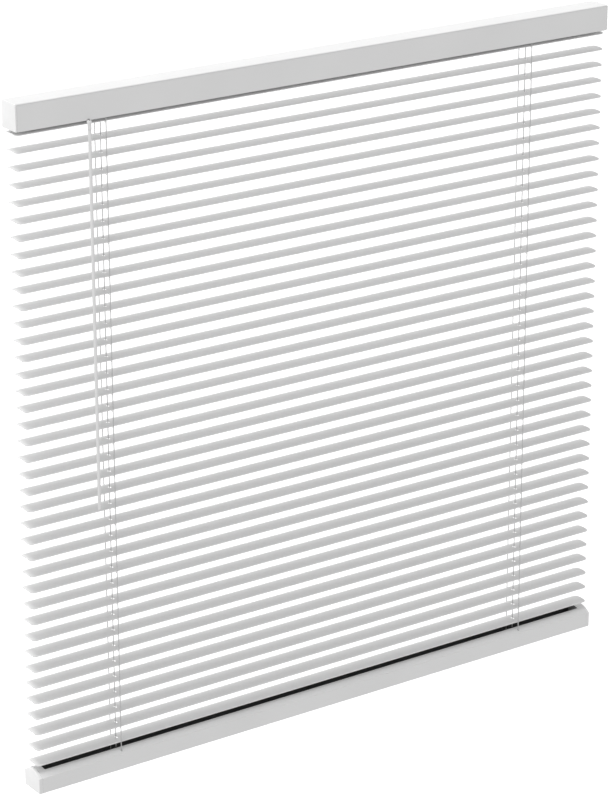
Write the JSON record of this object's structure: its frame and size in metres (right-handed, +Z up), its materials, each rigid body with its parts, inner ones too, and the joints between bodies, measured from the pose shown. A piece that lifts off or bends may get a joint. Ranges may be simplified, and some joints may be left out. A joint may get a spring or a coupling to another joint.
{
  "type": "venetian blind",
  "caption": "Horizontal white venetian blind with a box headrail, crowned vinyl slats on string ladders, a tilt wand at the left, a spring-held lift cord and an arched bottom rail.",
  "frame": {"origin": "middle of the headrail's top face", "axes": "+X to the right along the slats as seen from the room, +Y from the room towards the window, +Z up"},
  "size_m": [0.9, 0.0403, 0.8964],
  "materials": {
    "rail_enamel": "satin",
    "slat_vinyl": "satin",
    "cap_plastic": "satin",
    "moulding_plastic": "matte",
    "gear_plastic": "satin",
    "rod_steel": "satin",
    "ladder_string": "matte",
    "lift_cord": "matte",
    "wand_plastic": "gloss"
  },
  "bodies": {
    "headrail_frame": {"headrail": "rail_enamel", "headrail_cover": "rail_enamel", "end_cap_left": "cap_plastic", "end_cap_right": "cap_plastic", "spring_motor": "moulding_plastic", "tilter_housing": "moulding_plastic", "cradle_left": "moulding_plastic", "cradle_right": "moulding_plastic", "ladder_left": "ladder_string", "ladder_right": "ladder_string", "lift_cord": "lift_cord"},
    "tilt_shaft": {"tilt_rod": "rod_steel", "tilt_gear": "gear_plastic", "drum_left": "moulding_plastic", "drum_right": "moulding_plastic"},
    "worm": {"tilt_worm": "gear_plastic"},
    "hook": {"wand_hook": "wand_plastic"},
    "wand_stick": {"wand": "wand_plastic"},
    "slat_01": {"slat_01": "slat_vinyl"},
    "slat_02": {"slat_02": "slat_vinyl"},
    "slat_03": {"slat_03": "slat_vinyl"},
    "slat_04": {"slat_04": "slat_vinyl"},
    "slat_05": {"slat_05": "slat_vinyl"},
    "slat_06": {"slat_06": "slat_vinyl"},
    "slat_07": {"slat_07": "slat_vinyl"},
    "slat_08": {"slat_08": "slat_vinyl"},
    "slat_09": {"slat_09": "slat_vinyl"},
    "slat_10": {"slat_10": "slat_vinyl"},
    "slat_11": {"slat_11": "slat_vinyl"},
    "slat_12": {"slat_12": "slat_vinyl"},
    "slat_13": {"slat_13": "slat_vinyl"},
    "slat_14": {"slat_14": "slat_vinyl"},
    "slat_15": {"slat_15": "slat_vinyl"},
    "slat_16": {"slat_16": "slat_vinyl"},
    "slat_17": {"slat_17": "slat_vinyl"},
    "slat_18": {"slat_18": "slat_vinyl"},
    "slat_19": {"slat_19": "slat_vinyl"},
    "slat_20": {"slat_20": "slat_vinyl"},
    "slat_21": {"slat_21": "slat_vinyl"},
    "slat_22": {"slat_22": "slat_vinyl"},
    "slat_23": {"slat_23": "slat_vinyl"},
    "slat_24": {"slat_24": "slat_vinyl"},
    "slat_25": {"slat_25": "slat_vinyl"},
    "slat_26": {"slat_26": "slat_vinyl"},
    "slat_27": {"slat_27": "slat_vinyl"},
    "slat_28": {"slat_28": "slat_vinyl"},
    "slat_29": {"slat_29": "slat_vinyl"},
    "slat_30": {"slat_30": "slat_vinyl"},
    "slat_31": {"slat_31": "slat_vinyl"},
    "slat_32": {"slat_32": "slat_vinyl"},
    "slat_33": {"slat_33": "slat_vinyl"},
    "slat_34": {"slat_34": "slat_vinyl"},
    "slat_35": {"slat_35": "slat_vinyl"},
    "slat_36": {"slat_36": "slat_vinyl"},
    "slat_37": {"slat_37": "slat_vinyl"},
    "slat_38": {"slat_38": "slat_vinyl"},
    "slat_39": {"slat_39": "slat_vinyl"},
    "rail": {"bottom_rail": "rail_enamel", "bottom_cap_left": "cap_plastic", "bottom_cap_right": "cap_plastic"}
  },
  "joints": [
    {"name": "rail_tilt", "type": "hinge", "parent": "headrail_frame", "child": "rail", "pos_m": [0, 0, -0.87094], "axis": [1, 0, 0], "range_deg": [-65, 65], "deforming": ["ladder_left", "ladder_right"]},
    {"name": "tilt_rod_turn", "type": "hinge", "parent": "headrail_frame", "child": "tilt_shaft", "pos_m": [0, 0, -0.01565], "axis": [1, 0, 0], "range_deg": [-65, 65]},
    {"name": "worm_spin", "type": "hinge", "parent": "headrail_frame", "child": "worm", "pos_m": [-0.3512, -0.01865, -0.0355], "axis": [0, -0.8942, -0.4477], "range_deg": [-780, 780]},
    {"name": "wand_swing", "type": "hinge", "parent": "headrail_frame", "child": "hook", "pos_m": [-0.3512, -0.01865, -0.0355], "axis": [-1, 0, 0], "range_deg": [0, 60]},
    {"name": "wand_spin", "type": "hinge", "parent": "hook", "child": "wand_stick", "pos_m": [-0.3512, -0.01865, -0.0355], "axis": [0, 0, -1], "range_deg": [-780, 780]},
    {"name": "slat_01_tilt", "type": "hinge", "parent": "headrail_frame", "child": "slat_01", "pos_m": [0, 0, -0.0383], "axis": [1, 0, 0], "range_deg": [-13, 13]},
    {"name": "slat_02_tilt", "type": "hinge", "parent": "headrail_frame", "child": "slat_02", "pos_m": [0, 0, -0.0599], "axis": [1, 0, 0], "range_deg": [-65, 65]},
    {"name": "slat_03_tilt", "type": "hinge", "parent": "headrail_frame", "child": "slat_03", "pos_m": [0, 0, -0.0815], "axis": [1, 0, 0], "range_deg": [-65, 65]},
    {"name": "slat_04_tilt", "type": "hinge", "parent": "headrail_frame", "child": "slat_04", "pos_m": [0, 0, -0.1031], "axis": [1, 0, 0], "range_deg": [-65, 65]},
    {"name": "slat_05_tilt", "type": "hinge", "parent": "headrail_frame", "child": "slat_05", "pos_m": [0, 0, -0.1247], "axis": [1, 0, 0], "range_deg": [-65, 65]},
    {"name": "slat_06_tilt", "type": "hinge", "parent": "headrail_frame", "child": "slat_06", "pos_m": [0, 0, -0.1463], "axis": [1, 0, 0], "range_deg": [-65, 65]},
    {"name": "slat_07_tilt", "type": "hinge", "parent": "headrail_frame", "child": "slat_07", "pos_m": [0, 0, -0.1679], "axis": [1, 0, 0], "range_deg": [-65, 65]},
    {"name": "slat_08_tilt", "type": "hinge", "parent": "headrail_frame", "child": "slat_08", "pos_m": [0, 0, -0.1895], "axis": [1, 0, 0], "range_deg": [-65, 65]},
    {"name": "slat_09_tilt", "type": "hinge", "parent": "headrail_frame", "child": "slat_09", "pos_m": [0, 0, -0.2111], "axis": [1, 0, 0], "range_deg": [-65, 65]},
    {"name": "slat_10_tilt", "type": "hinge", "parent": "headrail_frame", "child": "slat_10", "pos_m": [0, 0, -0.2327], "axis": [1, 0, 0], "range_deg": [-65, 65]},
    {"name": "slat_11_tilt", "type": "hinge", "parent": "headrail_frame", "child": "slat_11", "pos_m": [0, 0, -0.2543], "axis": [1, 0, 0], "range_deg": [-65, 65]},
    {"name": "slat_12_tilt", "type": "hinge", "parent": "headrail_frame", "child": "slat_12", "pos_m": [0, 0, -0.2759], "axis": [1, 0, 0], "range_deg": [-65, 65]},
    {"name": "slat_13_tilt", "type": "hinge", "parent": "headrail_frame", "child": "slat_13", "pos_m": [0, 0, -0.2975], "axis": [1, 0, 0], "range_deg": [-65, 65]},
    {"name": "slat_14_tilt", "type": "hinge", "parent": "headrail_frame", "child": "slat_14", "pos_m": [0, 0, -0.3191], "axis": [1, 0, 0], "range_deg": [-65, 65]},
    {"name": "slat_15_tilt", "type": "hinge", "parent": "headrail_frame", "child": "slat_15", "pos_m": [0, 0, -0.3407], "axis": [1, 0, 0], "range_deg": [-65, 65]},
    {"name": "slat_16_tilt", "type": "hinge", "parent": "headrail_frame", "child": "slat_16", "pos_m": [0, 0, -0.3623], "axis": [1, 0, 0], "range_deg": [-65, 65]},
    {"name": "slat_17_tilt", "type": "hinge", "parent": "headrail_frame", "child": "slat_17", "pos_m": [0, 0, -0.3839], "axis": [1, 0, 0], "range_deg": [-65, 65]},
    {"name": "slat_18_tilt", "type": "hinge", "parent": "headrail_frame", "child": "slat_18", "pos_m": [0, 0, -0.4055], "axis": [1, 0, 0], "range_deg": [-65, 65]},
    {"name": "slat_19_tilt", "type": "hinge", "parent": "headrail_frame", "child": "slat_19", "pos_m": [0, 0, -0.4271], "axis": [1, 0, 0], "range_deg": [-65, 65]},
    {"name": "slat_20_tilt", "type": "hinge", "parent": "headrail_frame", "child": "slat_20", "pos_m": [0, 0, -0.4487], "axis": [1, 0, 0], "range_deg": [-65, 65]},
    {"name": "slat_21_tilt", "type": "hinge", "parent": "headrail_frame", "child": "slat_21", "pos_m": [0, 0, -0.4703], "axis": [1, 0, 0], "range_deg": [-65, 65]},
    {"name": "slat_22_tilt", "type": "hinge", "parent": "headrail_frame", "child": "slat_22", "pos_m": [0, 0, -0.4919], "axis": [1, 0, 0], "range_deg": [-65, 65]},
    {"name": "slat_23_tilt", "type": "hinge", "parent": "headrail_frame", "child": "slat_23", "pos_m": [0, 0, -0.5135], "axis": [1, 0, 0], "range_deg": [-65, 65]},
    {"name": "slat_24_tilt", "type": "hinge", "parent": "headrail_frame", "child": "slat_24", "pos_m": [0, 0, -0.5351], "axis": [1, 0, 0], "range_deg": [-65, 65]},
    {"name": "slat_25_tilt", "type": "hinge", "parent": "headrail_frame", "child": "slat_25", "pos_m": [0, 0, -0.5567], "axis": [1, 0, 0], "range_deg": [-65, 65]},
    {"name": "slat_26_tilt", "type": "hinge", "parent": "headrail_frame", "child": "slat_26", "pos_m": [0, 0, -0.5783], "axis": [1, 0, 0], "range_deg": [-65, 65]},
    {"name": "slat_27_tilt", "type": "hinge", "parent": "headrail_frame", "child": "slat_27", "pos_m": [0, 0, -0.5999], "axis": [1, 0, 0], "range_deg": [-65, 65]},
    {"name": "slat_28_tilt", "type": "hinge", "parent": "headrail_frame", "child": "slat_28", "pos_m": [0, 0, -0.6215], "axis": [1, 0, 0], "range_deg": [-65, 65]},
    {"name": "slat_29_tilt", "type": "hinge", "parent": "headrail_frame", "child": "slat_29", "pos_m": [0, 0, -0.6431], "axis": [1, 0, 0], "range_deg": [-65, 65]},
    {"name": "slat_30_tilt", "type": "hinge", "parent": "headrail_frame", "child": "slat_30", "pos_m": [0, 0, -0.6647], "axis": [1, 0, 0], "range_deg": [-65, 65]},
    {"name": "slat_31_tilt", "type": "hinge", "parent": "headrail_frame", "child": "slat_31", "pos_m": [0, 0, -0.6863], "axis": [1, 0, 0], "range_deg": [-65, 65]},
    {"name": "slat_32_tilt", "type": "hinge", "parent": "headrail_frame", "child": "slat_32", "pos_m": [0, 0, -0.7079], "axis": [1, 0, 0], "range_deg": [-65, 65]},
    {"name": "slat_33_tilt", "type": "hinge", "parent": "headrail_frame", "child": "slat_33", "pos_m": [0, 0, -0.7295], "axis": [1, 0, 0], "range_deg": [-65, 65]},
    {"name": "slat_34_tilt", "type": "hinge", "parent": "headrail_frame", "child": "slat_34", "pos_m": [0, 0, -0.7511], "axis": [1, 0, 0], "range_deg": [-65, 65]},
    {"name": "slat_35_tilt", "type": "hinge", "parent": "headrail_frame", "child": "slat_35", "pos_m": [0, 0, -0.7727], "axis": [1, 0, 0], "range_deg": [-65, 65]},
    {"name": "slat_36_tilt", "type": "hinge", "parent": "headrail_frame", "child": "slat_36", "pos_m": [0, 0, -0.7943], "axis": [1, 0, 0], "range_deg": [-65, 65]},
    {"name": "slat_37_tilt", "type": "hinge", "parent": "headrail_frame", "child": "slat_37", "pos_m": [0, 0, -0.8159], "axis": [1, 0, 0], "range_deg": [-65, 65]},
    {"name": "slat_38_tilt", "type": "hinge", "parent": "headrail_frame", "child": "slat_38", "pos_m": [0, 0, -0.8375], "axis": [1, 0, 0], "range_deg": [-65, 65]},
    {"name": "slat_39_tilt", "type": "hinge", "parent": "headrail_frame", "child": "slat_39", "pos_m": [0, 0, -0.8591], "axis": [1, 0, 0], "range_deg": [-65, 65]}
  ],
  "couplings": [
    {"joint": "tilt_rod_turn", "follows": "rail_tilt", "ratio": 1},
    {"joint": "worm_spin", "follows": "rail_tilt", "ratio": 12},
    {"joint": "wand_spin", "follows": "rail_tilt", "ratio": 12},
    {"joint": "slat_01_tilt", "follows": "rail_tilt", "ratio": 0.2},
    {"joint": "slat_02_tilt", "follows": "rail_tilt", "ratio": 1},
    {"joint": "slat_03_tilt", "follows": "rail_tilt", "ratio": 1},
    {"joint": "slat_04_tilt", "follows": "rail_tilt", "ratio": 1},
    {"joint": "slat_05_tilt", "follows": "rail_tilt", "ratio": 1},
    {"joint": "slat_06_tilt", "follows": "rail_tilt", "ratio": 1},
    {"joint": "slat_07_tilt", "follows": "rail_tilt", "ratio": 1},
    {"joint": "slat_08_tilt", "follows": "rail_tilt", "ratio": 1},
    {"joint": "slat_09_tilt", "follows": "rail_tilt", "ratio": 1},
    {"joint": "slat_10_tilt", "follows": "rail_tilt", "ratio": 1},
    {"joint": "slat_11_tilt", "follows": "rail_tilt", "ratio": 1},
    {"joint": "slat_12_tilt", "follows": "rail_tilt", "ratio": 1},
    {"joint": "slat_13_tilt", "follows": "rail_tilt", "ratio": 1},
    {"joint": "slat_14_tilt", "follows": "rail_tilt", "ratio": 1},
    {"joint": "slat_15_tilt", "follows": "rail_tilt", "ratio": 1},
    {"joint": "slat_16_tilt", "follows": "rail_tilt", "ratio": 1},
    {"joint": "slat_17_tilt", "follows": "rail_tilt", "ratio": 1},
    {"joint": "slat_18_tilt", "follows": "rail_tilt", "ratio": 1},
    {"joint": "slat_19_tilt", "follows": "rail_tilt", "ratio": 1},
    {"joint": "slat_20_tilt", "follows": "rail_tilt", "ratio": 1},
    {"joint": "slat_21_tilt", "follows": "rail_tilt", "ratio": 1},
    {"joint": "slat_22_tilt", "follows": "rail_tilt", "ratio": 1},
    {"joint": "slat_23_tilt", "follows": "rail_tilt", "ratio": 1},
    {"joint": "slat_24_tilt", "follows": "rail_tilt", "ratio": 1},
    {"joint": "slat_25_tilt", "follows": "rail_tilt", "ratio": 1},
    {"joint": "slat_26_tilt", "follows": "rail_tilt", "ratio": 1},
    {"joint": "slat_27_tilt", "follows": "rail_tilt", "ratio": 1},
    {"joint": "slat_28_tilt", "follows": "rail_tilt", "ratio": 1},
    {"joint": "slat_29_tilt", "follows": "rail_tilt", "ratio": 1},
    {"joint": "slat_30_tilt", "follows": "rail_tilt", "ratio": 1},
    {"joint": "slat_31_tilt", "follows": "rail_tilt", "ratio": 1},
    {"joint": "slat_32_tilt", "follows": "rail_tilt", "ratio": 1},
    {"joint": "slat_33_tilt", "follows": "rail_tilt", "ratio": 1},
    {"joint": "slat_34_tilt", "follows": "rail_tilt", "ratio": 1},
    {"joint": "slat_35_tilt", "follows": "rail_tilt", "ratio": 1},
    {"joint": "slat_36_tilt", "follows": "rail_tilt", "ratio": 1},
    {"joint": "slat_37_tilt", "follows": "rail_tilt", "ratio": 1},
    {"joint": "slat_38_tilt", "follows": "rail_tilt", "ratio": 1},
    {"joint": "slat_39_tilt", "follows": "rail_tilt", "ratio": 1}
  ]
}
